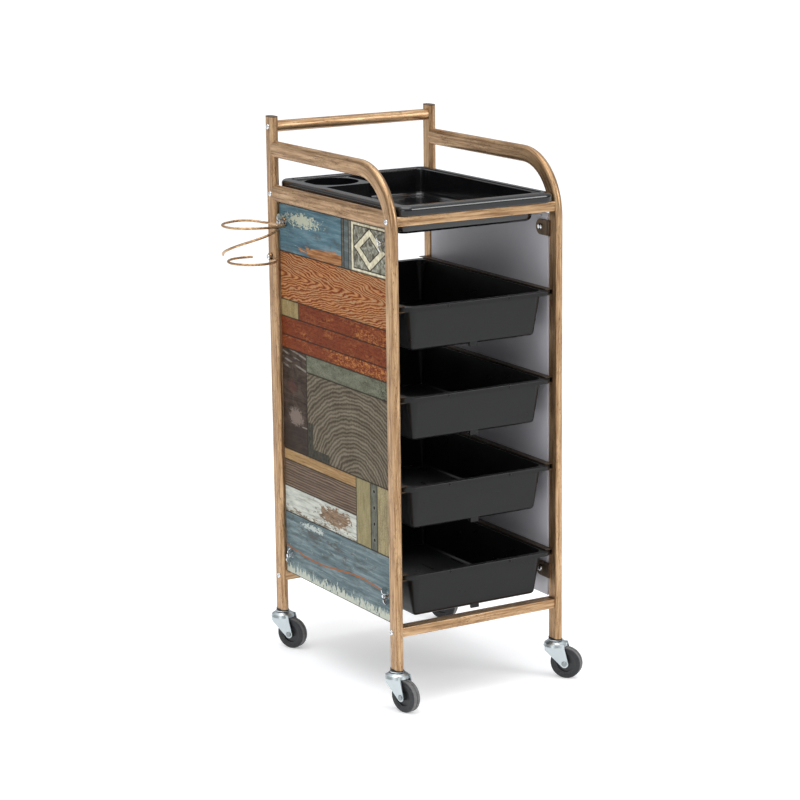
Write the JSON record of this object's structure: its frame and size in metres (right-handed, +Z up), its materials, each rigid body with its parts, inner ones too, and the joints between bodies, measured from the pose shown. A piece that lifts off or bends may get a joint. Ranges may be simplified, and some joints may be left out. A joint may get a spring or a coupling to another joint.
{
  "type": "rolling salon trolley",
  "caption": "Narrow salon trolley on casters with bronze tube frame, pull-out trays between printed side panels, a lift-out top tray and a wire hair-dryer holder.",
  "frame": {"origin": "on the floor, at the bottom centre of the whole object's box", "axes": "+Z up, -Y the open front the drawers come out of, -X the side with the hair-dryer holder"},
  "size_m": [0.4276, 0.4348, 0.873],
  "materials": {
    "bronze_paint": "brushed antique bronze",
    "panel_print": "printed outside, white inside",
    "drawer_plastic": "satin",
    "tray_plastic": "gloss",
    "chrome_plate": "bright",
    "caster_plastic": "satin",
    "wheel_grey": "satin",
    "tread_rubber": "satin",
    "zinc_steel": "plain"
  },
  "bodies": {
    "frame": {"left_hoop_tube": "bronze_paint", "left_rear_post": "bronze_paint", "left_side_rail": "bronze_paint", "right_hoop_tube": "bronze_paint", "right_rear_post": "bronze_paint", "right_side_rail": "bronze_paint", "post_caps": "bronze_paint", "front_upper_rail": "bronze_paint", "front_lower_rail": "bronze_paint", "rear_upper_rail": "bronze_paint", "rear_lower_rail": "bronze_paint", "rear_top_rod": "bronze_paint", "thread_inserts": "zinc_steel", "frame_screws": "chrome_plate", "left_panel": "panel_print", "right_panel": "panel_print", "panel_tabs": "bronze_paint", "panel_bolts": "chrome_plate", "wing_nuts": "chrome_plate", "left_slide_1": "bronze_paint", "right_slide_1": "bronze_paint", "left_slide_2": "bronze_paint", "right_slide_2": "bronze_paint", "left_slide_3": "bronze_paint", "right_slide_3": "bronze_paint", "left_slide_4": "bronze_paint", "right_slide_4": "bronze_paint", "dryer_spiral": "bronze_paint", "dryer_ring": "bronze_paint", "ring_screw": "chrome_plate", "caster_sleeves": "caster_plastic", "caster_stems": "zinc_steel"},
    "drawer_1": {"drawer_1": "drawer_plastic"},
    "drawer_2": {"drawer_2": "drawer_plastic"},
    "drawer_3": {"drawer_3": "drawer_plastic"},
    "drawer_4": {"drawer_4": "drawer_plastic"},
    "tray": {"top_tray": "tray_plastic"},
    "swivel_front_left": {"fork_front_left": "chrome_plate", "axle_front_left": "chrome_plate"},
    "wheel_front_left": {"wheel_core_front_left": "wheel_grey", "tyre_front_left": "tread_rubber"},
    "swivel_front_right": {"fork_front_right": "chrome_plate", "axle_front_right": "chrome_plate"},
    "wheel_front_right": {"wheel_core_front_right": "wheel_grey", "tyre_front_right": "tread_rubber"},
    "swivel_rear_left": {"fork_rear_left": "chrome_plate", "axle_rear_left": "chrome_plate"},
    "wheel_rear_left": {"wheel_core_rear_left": "wheel_grey", "tyre_rear_left": "tread_rubber"},
    "swivel_rear_right": {"fork_rear_right": "chrome_plate", "axle_rear_right": "chrome_plate"},
    "wheel_rear_right": {"wheel_core_rear_right": "wheel_grey", "tyre_rear_right": "tread_rubber"}
  },
  "joints": [
    {"name": "drawer_1_slide", "type": "slide", "parent": "frame", "child": "drawer_1", "axis": [0, -1, 0], "range_m": [0, 0.25]},
    {"name": "drawer_2_slide", "type": "slide", "parent": "frame", "child": "drawer_2", "axis": [0, -1, 0], "range_m": [0, 0.25]},
    {"name": "drawer_3_slide", "type": "slide", "parent": "frame", "child": "drawer_3", "axis": [0, -1, 0], "range_m": [0, 0.25]},
    {"name": "drawer_4_slide", "type": "slide", "parent": "frame", "child": "drawer_4", "axis": [0, -1, 0], "range_m": [0, 0.25]},
    {"name": "tray_lift", "type": "slide", "parent": "frame", "child": "tray", "axis": [0, 0, 1], "range_m": [0, 0.06]},
    {"name": "swivel_front_left_turn", "type": "hinge", "parent": "frame", "child": "swivel_front_left", "pos_m": [-0.10761, -0.17409, 0.0543], "axis": [0, 0, 1], "continuous": true},
    {"name": "wheel_front_left_spin", "type": "hinge", "parent": "swivel_front_left", "child": "wheel_front_left", "pos_m": [-0.10314, -0.19204, 0.025], "axis": [0.9703, 0.2419, 0], "continuous": true},
    {"name": "swivel_front_right_turn", "type": "hinge", "parent": "frame", "child": "swivel_front_right", "pos_m": [0.18239, -0.17409, 0.0543], "axis": [0, 0, 1], "continuous": true},
    {"name": "wheel_front_right_spin", "type": "hinge", "parent": "swivel_front_right", "child": "wheel_front_right", "pos_m": [0.19378, -0.18866, 0.025], "axis": [0.788, 0.6157, 0], "continuous": true},
    {"name": "swivel_rear_left_turn", "type": "hinge", "parent": "frame", "child": "swivel_rear_left", "pos_m": [-0.10761, 0.19591, 0.0543], "axis": [0, 0, 1], "continuous": true},
    {"name": "wheel_rear_left_spin", "type": "hinge", "parent": "swivel_rear_left", "child": "wheel_rear_left", "pos_m": [-0.09893, 0.17958, 0.025], "axis": [0.8829, 0.4695, 0], "continuous": true},
    {"name": "swivel_rear_right_turn", "type": "hinge", "parent": "frame", "child": "swivel_rear_right", "pos_m": [0.18239, 0.19591, 0.0543], "axis": [0, 0, 1], "continuous": true},
    {"name": "wheel_rear_right_spin", "type": "hinge", "parent": "swivel_rear_right", "child": "wheel_rear_right", "pos_m": [0.19219, 0.18022, 0.025], "axis": [0.848, 0.5299, 0], "continuous": true}
  ]
}
